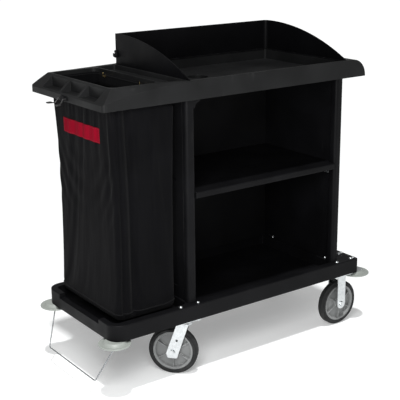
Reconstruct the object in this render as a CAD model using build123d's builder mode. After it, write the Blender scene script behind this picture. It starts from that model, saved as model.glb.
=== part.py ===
from build123d import *
import math
import os

# Compact housekeeping cart with one hanging bag, in millimetres.
# X runs along the cart with the bag end at -X, Y runs to the back and Z is up.
# Sizes are counted from the middle of the base; each finished piece is then moved so that
# the origin is on the floor below the middle of the whole cart.

# ---- base ----
BASE_X = 637.0                      # half length
BASE_Y = 274.0                      # half width
BASE_Z0 = 246.0                     # underside, which is the height of the casters
BASE_Z1 = 311.0                     # top of the rim
DECK_Z0 = 262.0
DECK_Z1 = 268.0                     # sunken deck under the bag and under the linen
BASE_CORNER = 55.0                  # upright corners at the bag end
RIM_Y = 240.0                       # inner edge of the long rims
END_RIM_X = -612.0                  # inner edge of the rim at the bag end
BLOCK_X = 505.0                     # start of the flat block at the handle end
END_LIP_Z = 291.0                   # lower stretch of the rim at the bag end
END_LIP_Y = 160.0
RIB_PITCH = 120.0
POCKET = 112.0
POCKET_TOP = 305.0

# ---- panels, posts and shelf ----
PANEL_T = 18.0
DIVIDER_X = -268.0                  # outer face of the divider panel
END_PANEL_X = 514.0                 # inner face of the end panel
POST_Y = (-248.0, -210.0)
LEFT_POST_X = (-274.0, -232.0)
RIGHT_POST_X = (498.0, 537.0)
BACK_Y = (236.0, 246.0)
PANEL_TOP = 1157.0
FIELD_DEPTH = 5.0
SHELF_Z = (740.0, 765.0)
SHELF_FRONT = -250.0
FIT = 0.5                           # gap round a panel that drops in

# ---- top tray ----
SKIRT_Z = 1135.0
RAIL_Z = 1209.0
RAIL_Y = 279.6                      # half width over the rails
WALL = 5.0
TIP_X = -649.0                      # outer edge of the tub
TIP_Z = 1158.0
TUB_RIM_X = -591.0
HANDLE_R = 72.0
HANDLE_X = 558.0                    # centre of the rolled push handle
TRAY_FLOOR = 1162.0
PAN_X = (-262.0, 508.0)
PAN_Y = (-266.0, 236.0)
LEDGE_Z = 1204.0                    # ledge that the guard stands on
MOUTH_X = (-585.0, -380.0)          # bag opening
MOUTH_Y = 228.0
COLLAR_Z = 1150.0
POCKET_X = (-373.0, -283.0)         # shallow pocket beside the bag opening
POCKET_Z = 1190.0
CUP_XY = (-32.0, 14.0)
CUP_R = 43.0

# ---- guard round the tray ----
GUARD_X = (-275.0, 522.0)
GUARD_Y = (-276.0, 249.0)
GUARD_T = 4.0
GUARD_TOP = 1335.0
GUARD_ARC_Y = 220.0                 # where the falling edge of each side begins

# ---- bag ----
CLOTH = 3.0
BAG_SECTIONS = (                    # height, x0, x1, half width
    (304.0, -582.0, -324.0, 225.0),
    (332.0, -592.0, -317.0, 235.0),
    (700.0, -581.0, -312.0, 234.0),
    (1122.0, -589.0, -304.0, 238.0),
)
NECK_X = (-581.0, -384.0)
NECK_Y = 222.0
NECK_Z = 1197.0
SHOULDER_RISE = 22.0                # height over which the bag closes in to its neck
HOOK_Z = 1184.0
HOOK_Y = (-120.0, 150.0)
LABEL_X = (-586.2, -583.2)
LABEL_Y = (-135.0, 149.0)
LABEL_Z = (989.0, 1046.0)

# ---- bumpers and bail ----
LEFT_BUMPER = (615.0, 240.0)        # distance from the middle of the base, along X and Y
RIGHT_BUMPER = (655.0, 236.0)
BUMPER_R = 64.0
BUMPER_GAP = 0.5                    # play above a bumper
BRACKET_T = 3.0                     # plates that carry the right bumpers past the base
BAIL_R = 2.5
BAIL_Z = 222.0                      # hinge line
BAIL_TIP = (-680.0, 74.0)           # x and z of the cross bar
BAIL_BAR_Y = 190.0
BAIL_TOP_Y = 245.0

# ---- casters ----
WHEEL_R = 101.6                     # 8 in wheel
HUB_R = 82.0
SWIVEL_X = -278.0
RIGID_X = 563.0
CASTER_Y = 220.0
TRAIL = 46.0
BOLT_X = 42.0                       # half the bolt pattern, along X
BOLT_Y = 38.0                       # half the bolt pattern, along Y
BOLT_R = 4.0
NUT_H = 6.5
AXLE_R = 6.4
KINGPIN_R = 8.0
RUNNING = 0.05                      # radial clearance of a running fit
LOOSE = 0.1                         # radial clearance of a screw in its hole
SCREW_HOLE_R = 2.1
SINK = 5.2                          # depth of the recess for a bolt head in the deck
LEG_IN = 27.0                       # inner face of a fork leg, from the wheel's middle
LEG_T = 4.5
CASTERS = {                         # name: x, y, heading in degrees, swivels
    "front_left": (SWIVEL_X, -CASTER_Y, -47.0, True),
    "rear_left": (SWIVEL_X, CASTER_Y, 0.0, True),
    "front_right": (RIGID_X, -CASTER_Y, 0.0, False),
    "rear_right": (RIGID_X, CASTER_Y, 0.0, False),
}

HOLDER_TIP = -705.0                 # furthest point of the tool holder
MIDDLE_X = (RIGHT_BUMPER[0] + BUMPER_R + HOLDER_TIP) / 2

os.makedirs("parts", exist_ok=True)


# ------------------------------------------------------------------ helpers
def block(x, y, z, corner=0.0, mode=Mode.ADD):
    """Add or cut a box given by its spans, with rounded upright edges if asked."""
    with BuildSketch(Plane.XY.offset(z[0])) as outline:
        with Locations(((x[0] + x[1]) / 2, (y[0] + y[1]) / 2)):
            if corner:
                RectangleRounded(x[1] - x[0], y[1] - y[0], corner)
            else:
                Rectangle(x[1] - x[0], y[1] - y[0])
    extrude(outline.sketch, amount=z[1] - z[0], mode=mode)


def disc(plane, radius, height, mode=Mode.ADD, taper=0.0):
    """Add or cut a round of the given height, standing on a plane."""
    with BuildSketch(plane) as outline:
        Circle(radius)
    extrude(outline.sketch, amount=height, mode=mode, taper=taper)


def hexagon(plane, across, height):
    """Add a hexagonal head or nut standing on a plane."""
    with BuildSketch(plane) as outline:
        RegularPolygon(across / 2, 6, major_radius=False)
    extrude(outline.sketch, amount=height)


def pan_screw(plane, head=4.5, shank=2.0, length=12.0):
    """Add a pan-head screw: the head stands on the plane, the shank is behind it."""
    disc(plane, head, 2.5, taper=25)
    disc(plane, shank, -length)


def at(x, y, z, normal=(0, 0, 1)):
    """A plane through a point, facing the given way."""
    return Plane(origin=(x, y, z), z_dir=normal)


def finish(piece, name):
    """Move a finished piece into the cart's frame, name it and write it."""
    placed = piece.moved(Location((-MIDDLE_X, 0, 0)))
    placed.label = name
    export_step(placed, f"parts/{name}.step")


def bolt_points(x, y):
    """The four bolt places of one caster plate."""
    return [(x + i * BOLT_X, y + j * BOLT_Y) for i in (-1, 1) for j in (-1, 1)]


def on_deck(x, y):
    """Whether a caster bolt comes up in the sunken deck, and not in the rim or the end block."""
    return abs(y) < RIM_Y and x < BLOCK_X


def bolt_seat(x, y):
    """Height that a caster bolt's head sits at; in the deck its head is sunk flush."""
    return DECK_Z1 - SINK if on_deck(x, y) else BASE_Z1


ALL_BOLTS = [p for x, y, _, _ in CASTERS.values() for p in bolt_points(x, y)]
BUMPERS = {                         # name: x, y, height of the surface above it
    "front_left": (-LEFT_BUMPER[0], -LEFT_BUMPER[1], BASE_Z0),
    "rear_left": (-LEFT_BUMPER[0], LEFT_BUMPER[1], BASE_Z0),
    "front_right": (RIGHT_BUMPER[0], -RIGHT_BUMPER[1], BASE_Z0 - BRACKET_T),
    "rear_right": (RIGHT_BUMPER[0], RIGHT_BUMPER[1], BASE_Z0 - BRACKET_T),
}
BRACKET_X = (617.0, 680.0)
BRACKET_Y = (166.0, 266.0)
BRACKET_BOLTS = [(624.0, side * y) for side in (-1, 1) for y in (178.0, 254.0)]
BRACKET_BOLT_R = 4.0

# ------------------------------------------------------------------ base platform
BEAM_X = (-274.0, -246.0)           # raised beam under the divider
with BuildPart() as base_platform:
    block((-BASE_X, BASE_X), (-BASE_Y, BASE_Y), (BASE_Z0, BASE_Z1))
    uprights = base_platform.edges().filter_by(Axis.Z)
    fillet(uprights.group_by(Axis.X)[0], BASE_CORNER)
    fillet(base_platform.edges().filter_by(Axis.Z).group_by(Axis.X)[-1], 8)
    fillet(base_platform.faces().sort_by(Axis.Z)[-1].edges(), 4)
    top = (DECK_Z1, BASE_Z1 + 1)
    block((END_RIM_X, BEAM_X[0]), (-RIM_Y, RIM_Y), top, corner=26, mode=Mode.SUBTRACT)
    block((BEAM_X[1], BLOCK_X), (-RIM_Y, RIM_Y), top, corner=8, mode=Mode.SUBTRACT)
    block((-BASE_X - 1, END_RIM_X + 1), (-END_LIP_Y, END_LIP_Y), (END_LIP_Z, BASE_Z1 + 1),
          mode=Mode.SUBTRACT)
    for side in (-1, 1):
        pad = sorted((side * RIM_Y, side * 206))
        block((BEAM_X[0] - 2, LEFT_POST_X[1] + 2), pad, (DECK_Z0, BASE_Z1))
    with BuildSketch(Plane.XY.offset(BASE_Z0)):
        with Locations((-60, 0)):
            with GridLocations(RIB_PITCH, RIB_PITCH, 9, 4):
                Rectangle(POCKET, POCKET)
    extrude(amount=DECK_Z0 - BASE_Z0, mode=Mode.SUBTRACT)
    with BuildSketch(Plane.XY.offset(BASE_Z0)):
        with Locations((571, 0)):
            with GridLocations(RIB_PITCH, RIB_PITCH, 1, 4):
                Rectangle(POCKET + 6, POCKET)
        with GridLocations(RIB_PITCH, 2 * 257, 10, 2):
            Rectangle(POCKET, 22)
        with Locations((-625, 0)):
            with GridLocations(RIB_PITCH, RIB_PITCH, 1, 3):
                Rectangle(12, POCKET)
    extrude(amount=END_LIP_Z - WALL - BASE_Z0, mode=Mode.SUBTRACT)
    for x, y in ALL_BOLTS:
        disc(at(x, y, BASE_Z0), 13, (DECK_Z1 if on_deck(x, y) else BASE_Z1) - BASE_Z0)
        disc(at(x, y, BASE_Z0), BOLT_R + LOOSE, BASE_Z1 - BASE_Z0, mode=Mode.SUBTRACT)
        if on_deck(x, y):
            disc(at(x, y, bolt_seat(x, y)), 9.4, SINK, mode=Mode.SUBTRACT)
    for side in (-1, 1):
        x, y = -LEFT_BUMPER[0], side * LEFT_BUMPER[1]
        disc(at(x, y, BASE_Z0), 16, 50)
        disc(at(x, y, BASE_Z0), 6 + LOOSE, 38, mode=Mode.SUBTRACT)
    for x, y in BRACKET_BOLTS:
        disc(at(x, y, BASE_Z0), 11, BASE_Z1 - BASE_Z0)
        disc(at(x, y, BASE_Z0), BRACKET_BOLT_R + LOOSE, BASE_Z1 - BASE_Z0, mode=Mode.SUBTRACT)
finish(base_platform.part, "base_platform")

# ------------------------------------------------------------------ upright panels
FIELD_Y = (-165.0, 205.0)
FIELDS_Z = ((360.0, 705.0), (800.0, 1090.0))
BACK_SCREW_Z = (340.0, 540.0, 752.0, 940.0, 1115.0)
DIVIDER_MID = DIVIDER_X + PANEL_T / 2
WEB_R = 24.0
WEB_Z = SKIRT_Z - 38.0
END_PANEL_MID = END_PANEL_X + PANEL_T / 2
RAIL_SCREW_Y = (-160.0, 20.0, 200.0)
SHELF_RAIL_Z = 726.0
TRAY_SCREWS = [(-254.0, y, TRAY_FLOOR - 2.7) for y in RAIL_SCREW_Y]     # heads sunk in the tray


def screw_holes(spots, normal, radius, depth):
    """Cut screw holes that start at each spot and run against the normal."""
    for spot in spots:
        disc(at(*spot, normal), radius, -depth, mode=Mode.SUBTRACT)


with BuildPart() as divider_panel:
    block((DIVIDER_X, DIVIDER_X + PANEL_T), (POST_Y[1] - 2, BACK_Y[1]), (BASE_Z1, PANEL_TOP))
    block(LEFT_POST_X, POST_Y, (BASE_Z1, PANEL_TOP), corner=14)
    for z in FIELDS_Z:
        block((DIVIDER_X - 1, DIVIDER_X + FIELD_DEPTH), FIELD_Y, z, mode=Mode.SUBTRACT)
    # rounded web in the top corner of the shelf opening
    with BuildSketch(Plane.XZ.offset(-POST_Y[0])):
        with BuildLine():
            Polyline((LEFT_POST_X[1] - 14, WEB_Z), (LEFT_POST_X[1], WEB_Z))
            RadiusArc((LEFT_POST_X[1], WEB_Z), (LEFT_POST_X[1] + WEB_R, WEB_Z + WEB_R), WEB_R)
            Polyline((LEFT_POST_X[1] + WEB_R, WEB_Z + WEB_R), (LEFT_POST_X[1] + WEB_R, PANEL_TOP - 10),
                     (LEFT_POST_X[1] - 14, PANEL_TOP - 10), (LEFT_POST_X[1] - 14, WEB_Z))
        make_face()
    extrude(amount=-10)
    screw_holes([(DIVIDER_MID, BACK_Y[1], z) for z in BACK_SCREW_Z], (0, 1, 0), SCREW_HOLE_R, 15)
    screw_holes([(DIVIDER_X + PANEL_T, y, SHELF_RAIL_Z) for y in RAIL_SCREW_Y], (1, 0, 0), SCREW_HOLE_R, 9)
    screw_holes([(x, y, PANEL_TOP) for x, y, _ in TRAY_SCREWS], (0, 0, 1), SCREW_HOLE_R, 15)
finish(divider_panel.part, "divider_panel")

with BuildPart() as end_panel:
    outer = END_PANEL_X + PANEL_T
    block((END_PANEL_X, outer), (POST_Y[1] - 2, BACK_Y[1]), (BASE_Z1, PANEL_TOP))
    block(RIGHT_POST_X, POST_Y, (BASE_Z1, PANEL_TOP), corner=12)
    for z in FIELDS_Z:
        block((outer - FIELD_DEPTH, outer + 1), FIELD_Y, z, mode=Mode.SUBTRACT)
    for side in (-1, 1):
        y = side * (CASTER_Y - BOLT_Y)
        block((END_PANEL_X - 1, outer + 1), (y - 12, y + 12), (BASE_Z1 - 1, BASE_Z1 + 12),
              mode=Mode.SUBTRACT)
    screw_holes([(END_PANEL_MID, BACK_Y[1], z) for z in BACK_SCREW_Z], (0, 1, 0), SCREW_HOLE_R, 15)
    screw_holes([(END_PANEL_X, y, SHELF_RAIL_Z) for y in RAIL_SCREW_Y], (-1, 0, 0), SCREW_HOLE_R, 9)
finish(end_panel.part, "end_panel")

with BuildPart() as back_panel:
    block((DIVIDER_X + PANEL_T, END_PANEL_X), BACK_Y, (BASE_Z1, PANEL_TOP))
    for z in FIELDS_Z:
        for x in (-215.0, 25.0, 265.0):
            block((x, x + 214), (BACK_Y[1] - 4, BACK_Y[1] + 1), z, mode=Mode.SUBTRACT)
finish(back_panel.part, "back_panel")

with BuildPart() as back_flanges:
    for x in (DIVIDER_X + PANEL_T - 20, END_PANEL_X - 4):
        block((x, x + 24), (BACK_Y[1], BACK_Y[1] + 3), (BASE_Z1, SKIRT_Z - 4), corner=1)
    spots = [(x, BACK_Y[1] + 3, z) for x in (DIVIDER_MID, END_PANEL_MID) for z in BACK_SCREW_Z]
    screw_holes(spots, (0, 1, 0), SCREW_HOLE_R, 4)
finish(back_flanges.part, "back_cover_strips")

with BuildPart() as back_screws:
    for spot in spots:
        pan_screw(at(*spot, (0, 1, 0)), length=16)
finish(back_screws.part, "back_screws")

# ------------------------------------------------------------------ middle shelf
SHELF_X = (DIVIDER_X + PANEL_T + FIT, END_PANEL_X - FIT)
with BuildPart() as middle_shelf:
    block(SHELF_X, (SHELF_FRONT, BACK_Y[0] - FIT), SHELF_Z)
    fillet(middle_shelf.faces().sort_by(Axis.Y)[0].edges().filter_by(Axis.X), 4)
    for post in (LEFT_POST_X, RIGHT_POST_X):
        block((post[0] - 20, post[1] + FIT) if post[0] < 0 else (post[0] - FIT, post[1] + 20),
              (SHELF_FRONT - 1, POST_Y[1] + FIT), (SHELF_Z[0] - 1, SHELF_Z[1] + 1),
              mode=Mode.SUBTRACT)
    with BuildSketch(Plane.XY.offset(SHELF_Z[0])):
        with Locations((132, 0)):
            with GridLocations(RIB_PITCH, RIB_PITCH, 6, 1):
                Rectangle(POCKET, 3 * RIB_PITCH + 20)
        with Locations((132, -3)):
            with GridLocations(RIB_PITCH, RIB_PITCH, 6, 3):
                Rectangle(POCKET, 4, mode=Mode.SUBTRACT)
    extrude(amount=SHELF_Z[1] - SHELF_Z[0] - WALL, mode=Mode.SUBTRACT)
finish(middle_shelf.part, "middle_shelf")

RAILS = {"left": (DIVIDER_X + PANEL_T, 1), "right": (END_PANEL_X, -1)}
for side, (face, way) in RAILS.items():
    with BuildPart() as shelf_rail:
        block(sorted((face, face + way * 4)), (-196, 230), (712, SHELF_Z[0]))
        block(sorted((face, face + way * 26)), (-196, 230), (SHELF_Z[0] - 4, SHELF_Z[0]))
        screw_holes([(face + way * 4, y, SHELF_RAIL_Z) for y in RAIL_SCREW_Y], (way, 0, 0),
                    SCREW_HOLE_R, 5)
    finish(shelf_rail.part, f"shelf_rail_{side}")

with BuildPart() as rail_screws:
    for face, way in RAILS.values():
        for y in RAIL_SCREW_Y:
            pan_screw(at(face + way * 4, y, SHELF_RAIL_Z, (way, 0, 0)))
finish(rail_screws.part, "shelf_rail_screws")

# ------------------------------------------------------------------ top tray with the tub
SHOULDER = (                        # x, height on the outer face, inset of the top edge
    (TIP_X - 4, 1159.0, 40.0),
    (-452.0, 1194.0, 27.0),
    (-262.0, 1205.5, 4.0),
)
NICHES_Y = ((-215.0, -93.0), (-80.0, 45.0), (58.0, 195.0))
NICHE_X = -598.0
NICHE_Z = 1163.0
HOLDER_Y = 6.0


def shoulder_cut(side):
    """Cut the sloping shoulder that widens towards the bag end on one long side."""
    sections = []
    for x, z_face, inset in SHOULDER:
        slope = (RAIL_Z - z_face) / inset
        out = RAIL_Y + 4
        high = RAIL_Z + 3
        with BuildSketch(Plane.YZ.offset(x)) as section:
            Polygon((side * out, z_face - 4 * slope), (side * out, high),
                    (side * (RAIL_Y - inset - 3 / slope), high), align=None)
        sections.append(section.sketch)
    loft(sections, mode=Mode.SUBTRACT)


with BuildPart() as top_tray:
    with BuildSketch(Plane.XZ):
        with BuildLine():
            Polyline((HANDLE_X + HANDLE_R, RAIL_Z - HANDLE_R), (HANDLE_X + HANDLE_R, SKIRT_Z),
                     (TIP_X, SKIRT_Z), (TIP_X, TIP_Z), (TUB_RIM_X, RAIL_Z), (HANDLE_X, RAIL_Z))
            CenterArc((HANDLE_X, RAIL_Z - HANDLE_R), HANDLE_R, 0, 90)
        make_face()
    extrude(amount=RAIL_Y, both=True)
    tip_edges = top_tray.edges().filter_by(Axis.Z).group_by(Axis.X)[0]
    fillet(tip_edges, 12)
    shoulder_cut(-1)
    shoulder_cut(1)
    # underside: skirt cavity, collar round the bag opening, handle shell
    inside_y = RAIL_Y - WALL
    low = (SKIRT_Z - 1, COLLAR_Z)
    block((TIP_X + WALL, -278), (-inside_y, inside_y), low, corner=8, mode=Mode.SUBTRACT)
    block((MOUTH_X[1] + WALL, -278), (-inside_y + 8, inside_y - 8), (COLLAR_Z - 1, POCKET_Z - WALL),
          mode=Mode.SUBTRACT)
    block((-278, 538), (PAN_Y[0], inside_y - 4), (SKIRT_Z - 1, PANEL_TOP), mode=Mode.SUBTRACT)
    block((-270, 500), (PAN_Y[1] + WALL, inside_y - 4), (PANEL_TOP - 1, LEDGE_Z - WALL),
          mode=Mode.SUBTRACT)
    with BuildSketch(Plane.XZ):
        with BuildLine():
            Polyline((HANDLE_X + HANDLE_R - WALL, RAIL_Z - HANDLE_R),
                     (HANDLE_X + HANDLE_R - WALL, SKIRT_Z - 1), (543, SKIRT_Z - 1),
                     (543, RAIL_Z - WALL), (HANDLE_X, RAIL_Z - WALL))
            CenterArc((HANDLE_X, RAIL_Z - HANDLE_R), HANDLE_R - WALL, 0, 90)
        make_face()
    extrude(amount=inside_y, both=True, mode=Mode.SUBTRACT)
    # upper side: pan, guard ledge, cup recess, bag mouth, pocket
    block(PAN_X, PAN_Y, (TRAY_FLOOR, RAIL_Z + 1), corner=10, mode=Mode.SUBTRACT)
    block((GUARD_X[0] - FIT, GUARD_X[1] + FIT), (PAN_Y[0], GUARD_Y[1] + FIT), (LEDGE_Z, RAIL_Z + 1),
          mode=Mode.SUBTRACT)
    disc(at(*CUP_XY, 1134), CUP_R + 4, TRAY_FLOOR - 1134)
    disc(at(*CUP_XY, 1138), CUP_R, 30, mode=Mode.SUBTRACT)
    block(MOUTH_X, (-MOUTH_Y, MOUTH_Y), (SKIRT_Z, RAIL_Z + 1), corner=30, mode=Mode.SUBTRACT)
    block(POCKET_X, (-245, 245), (POCKET_Z, RAIL_Z + 1), corner=10, mode=Mode.SUBTRACT)
    for y in NICHES_Y:
        block((TIP_X - 1, NICHE_X), y, (NICHE_Z, RAIL_Z + 1), mode=Mode.SUBTRACT)
    for spot in TRAY_SCREWS:
        disc(at(*spot), 5.2, 3, mode=Mode.SUBTRACT)
    screw_holes(TRAY_SCREWS, (0, 0, 1), SCREW_HOLE_R, 6)
finish(top_tray.part, "top_tray")

with BuildPart() as tray_screws:
    for spot in TRAY_SCREWS:
        pan_screw(at(*spot), length=14)
finish(tray_screws.part, "tray_screws")

# ------------------------------------------------------------------ guard round the tray
FOOT = 10.0
FOOT_T = 3.0
GUARD_SCREWS = [(x, 240.0) for x in (-200.0, 20.0, 240.0, 460.0)]
GUARD_SCREWS += [(513.0, y) for y in (-150.0, 40.0)] + [(-267.0, y) for y in (-150.0, 40.0)]
guard_drop = GUARD_TOP - RAIL_Z
guard_run = GUARD_ARC_Y - GUARD_Y[0] + 2
GUARD_ARC_R = (guard_run ** 2 + guard_drop ** 2) / (2 * guard_drop)
with BuildPart() as tray_guard:
    block(GUARD_X, GUARD_Y, (LEDGE_Z, GUARD_TOP))
    fillet(tray_guard.edges().filter_by(Axis.Z).sort_by(Axis.X)[-2:].sort_by(Axis.Y)[-1], 22)
    inner_x = (GUARD_X[0] + GUARD_T, GUARD_X[1] - GUARD_T)
    block(inner_x, (GUARD_Y[0] - 50, GUARD_Y[1] - GUARD_T), (LEDGE_Z, GUARD_TOP + 1), corner=18,
          mode=Mode.SUBTRACT)
    # foot flange on the ledge, inside all three walls
    block(inner_x, (PAN_Y[0] + 1, GUARD_Y[1] - GUARD_T), (LEDGE_Z, LEDGE_Z + FOOT_T))
    block((inner_x[0] + FOOT, inner_x[1] - FOOT), (PAN_Y[0], GUARD_Y[1] - GUARD_T - FOOT),
          (LEDGE_Z - 1, LEDGE_Z + FOOT_T + 1), mode=Mode.SUBTRACT)
    # falling curved top edge of the two sides
    with BuildSketch(Plane.YZ.offset(GUARD_X[0] - 1)):
        with BuildLine():
            RadiusArc((GUARD_ARC_Y, GUARD_TOP), (GUARD_Y[0] - 2, RAIL_Z), -GUARD_ARC_R)
            Polyline((GUARD_Y[0] - 2, RAIL_Z), (GUARD_Y[0] - 2, GUARD_TOP + 2),
                     (GUARD_ARC_Y, GUARD_TOP + 2), (GUARD_ARC_Y, GUARD_TOP))
        make_face()
    extrude(amount=GUARD_X[1] - GUARD_X[0] + 2, mode=Mode.SUBTRACT)
    block((GUARD_X[0] - 1, GUARD_X[1] + 1), (GUARD_Y[0] - 1, PAN_Y[0] + FIT), (LEDGE_Z - 1, RAIL_Z),
          mode=Mode.SUBTRACT)
    # two upright ribs on the inside of the back wall
    for x in (-191.0, -174.5):
        block((x, x + 3), (GUARD_Y[1] - GUARD_T - 3, GUARD_Y[1] - GUARD_T + 1),
              (LEDGE_Z + FOOT_T, GUARD_TOP - 1))
    for x, y in GUARD_SCREWS:
        disc(at(x, y, LEDGE_Z - 1), SCREW_HOLE_R, 5, mode=Mode.SUBTRACT)
finish(tray_guard.part, "tray_guard")

with BuildPart() as guard_screws:
    for x, y in GUARD_SCREWS:
        pan_screw(at(x, y, LEDGE_Z + FOOT_T), head=4.0, length=3.0)
finish(guard_screws.part, "guard_screws")

with BuildPart() as side_hook:
    with BuildSketch(Plane.XZ.offset(-236)):
        with BuildLine():
            Polyline((GUARD_X[0], 1238), (GUARD_X[0], 1268), (-280, 1268), (-283, 1262),
                     (-280, 1256), (-280, 1248), (-284, 1246), (-286, 1256), (-289, 1256),
                     (-289, 1243), (-283, 1238), close=True)
        make_face()
    extrude(amount=-13)
finish(side_hook.part, "side_hook")

# ------------------------------------------------------------------ spring tool holder
HOLDER_ARM_R = 2.25
tip = HOLDER_TIP + HOLDER_ARM_R
with BuildPart() as holder_bracket:
    block((TIP_X - 3, TIP_X), (HOLDER_Y - 26, HOLDER_Y + 26), (1138, 1157))
    block((TIP_X - 12, TIP_X - 3), (HOLDER_Y - 12, HOLDER_Y + 12), (1140, 1155), corner=3)
    fillet(holder_bracket.edges().filter_by(Axis.X).group_by(Axis.Y)[0], 5)
    fillet(holder_bracket.edges().filter_by(Axis.X).group_by(Axis.Y)[-1], 5)
finish(holder_bracket.part, "tool_holder_bracket")

with BuildPart() as holder_arms:
    for side in (-1, 1):
        root = (TIP_X - 3, HOLDER_Y + side * 19, 1147)
        with BuildLine() as arm:
            FilletPolyline(root, (-664, HOLDER_Y + side * 19, 1147),
                           (-676, HOLDER_Y + side * 22, 1131), (tip, HOLDER_Y + side * 26, 1131),
                           (tip, HOLDER_Y + side * 42, 1131), (tip + 18, HOLDER_Y + side * 42, 1131),
                           (tip + 18, HOLDER_Y + side * 31, 1131), radius=4.5)
        with BuildSketch(at(*root, (-1, 0, 0))):
            Circle(HOLDER_ARM_R)
        sweep(path=arm.wires()[0])
finish(holder_arms.part, "tool_holder_arms")

# ------------------------------------------------------------------ bag, label, hooks
def bag_outline(z, x, half, inset):
    """One level outline of the bag, pulled in by the cloth's thickness for the inside."""
    with BuildSketch(Plane.XY.offset(z)) as outline:
        with Locations(((x[0] + x[1]) / 2, 0)):
            RectangleRounded(x[1] - x[0] - 2 * inset, 2 * (half - inset), 26 - inset)
    return outline.sketch


def bag_form(inset, mode):
    """Add the bag's outer form, or cut its inside: the foot, the body, the shoulder and the neck."""
    levels = [z for z, _, _, _ in BAG_SECTIONS]
    levels[0] += inset
    levels[-1] -= inset / 2
    rings = [bag_outline(level, (x0, x1), half, inset)
             for level, (_, x0, x1, half) in zip(levels, BAG_SECTIONS)]
    neck_foot = levels[-1] + SHOULDER_RISE
    neck = bag_outline(neck_foot, NECK_X, NECK_Y, inset)
    loft(rings[:2], mode=mode)
    loft(rings[1:], mode=mode)
    loft([rings[-1], neck], mode=mode)
    extrude(neck, amount=NECK_Z + (1 if inset else 0) - neck_foot, mode=mode)


HOOK_SPOTS = [(x, way, y) for x, way in ((NECK_X[0], 1), (NECK_X[1], -1)) for y in HOOK_Y]
with BuildPart() as bag:
    bag_form(0, Mode.ADD)
    bag_form(CLOTH, Mode.SUBTRACT)
    block(LABEL_X, LABEL_Y, LABEL_Z, mode=Mode.SUBTRACT)
    for x, way, y in HOOK_SPOTS:
        disc(at(x - way, y, HOOK_Z, (way, 0, 0)), 8.1, 8, mode=Mode.SUBTRACT)
finish(bag.part, "bag")

with BuildPart() as bag_label:
    block(LABEL_X, LABEL_Y, LABEL_Z)
finish(bag_label.part, "bag_label")

with BuildPart() as bag_grommets:
    for x, way, y in HOOK_SPOTS:
        disc(at(x - way * 0.5, y, HOOK_Z, (way, 0, 0)), 8, 4)
        disc(at(x - way * 0.5, y, HOOK_Z, (way, 0, 0)), 5, 4, mode=Mode.SUBTRACT)
finish(bag_grommets.part, "bag_grommets")

with BuildPart() as bag_hooks:
    for x, way, y in HOOK_SPOTS:
        wall = MOUTH_X[0] if way > 0 else MOUTH_X[1]
        disc(at(wall, y, HOOK_Z, (way, 0, 0)), 8, 2.5)
        with BuildLine() as wire:
            FilletPolyline((wall + way * 2, y, HOOK_Z), (wall + way * 16, y, HOOK_Z),
                           (wall + way * 16, y, HOOK_Z + 15), radius=5)
        with BuildSketch(at(wall + way * 2, y, HOOK_Z, (way, 0, 0))):
            Circle(2)
        sweep(path=wire.wires()[0])
finish(bag_hooks.part, "bag_hooks")

# ------------------------------------------------------------------ bumpers and bail
BUMPER_BOLT_R = 8.0
WEB_T = 4.0                         # top of the bumper, round its bolt
BRIM = (-16.0, 6.0)                 # rolling brim: foot below the bumper's top, and thickness
CROWN_R = 46.0
CROWN_H = 9.0
CROWN_TAPER = 40.0
CUP = (36.0, 13.0)                  # hollow under the web: radius and depth
for name, (x, y, ceiling) in BUMPERS.items():
    top = ceiling - BUMPER_GAP
    with BuildPart() as bumper:
        disc(at(x, y, top + BRIM[0]), BUMPER_R, BRIM[1])
        fillet(bumper.edges().filter_by(GeomType.CIRCLE), 2.5)
        disc(at(x, y, top - CROWN_H - 1), CROWN_R + 3, 2, taper=CROWN_TAPER)
        disc(at(x, y, top - CROWN_H), CROWN_R, CROWN_H, taper=CROWN_TAPER)
        disc(at(x, y, top - WEB_T), CUP[0], -CUP[1], mode=Mode.SUBTRACT)
        disc(at(x, y, top), BUMPER_BOLT_R + RUNNING, -20, mode=Mode.SUBTRACT)
    finish(bumper.part, f"bumper_{name}")

with BuildPart() as bumper_bolts:
    for x, y, ceiling in BUMPERS.values():
        web = ceiling - BUMPER_GAP - WEB_T
        disc(at(x, y, web - 2.5), 14, 2.2)
        disc(at(x, y, web - 1), BUMPER_BOLT_R, ceiling - web + 1)
        if x < 0:
            disc(at(x, y, web - 6), 5, 5)
            disc(at(x, y, ceiling), 6, 34)
            hexagon(at(x, y, web - 10.5), 15, 5)
        else:
            disc(at(x, y, ceiling - 1), 6, 15)
            hexagon(at(x, y, web - 8), 15, 6)
finish(bumper_bolts.part, "bumper_bolts")

with BuildPart() as bumper_nuts:
    for x, y, ceiling in BUMPERS.values():
        if x > 0:
            hexagon(at(x, y, BASE_Z0), 18, 9)
            disc(at(x, y, BASE_Z0 - 1), 6, 11, mode=Mode.SUBTRACT)
finish(bumper_nuts.part, "bumper_nuts")

with BuildPart() as bumper_brackets:
    for side in (-1, 1):
        block(BRACKET_X, sorted(side * y for y in BRACKET_Y), (BASE_Z0 - BRACKET_T, BASE_Z0),
              corner=10)
        disc(at(RIGHT_BUMPER[0], side * RIGHT_BUMPER[1], BASE_Z0 - 5), 6 + LOOSE, 8,
             mode=Mode.SUBTRACT)
    for x, y in BRACKET_BOLTS:
        disc(at(x, y, BASE_Z0 - 5), BRACKET_BOLT_R + LOOSE, 8, mode=Mode.SUBTRACT)
finish(bumper_brackets.part, "bumper_brackets")

with BuildPart() as bracket_bolts:
    for x, y in BRACKET_BOLTS:
        disc(at(x, y, BASE_Z1), 8, 1.5)
        disc(at(x, y, BASE_Z1 + 1.5), 6.5, 3, taper=28)
        disc(at(x, y, BASE_Z0 - BRACKET_T), BRACKET_BOLT_R, BASE_Z1 - BASE_Z0 + BRACKET_T)
finish(bracket_bolts.part, "bracket_bolts")

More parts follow.
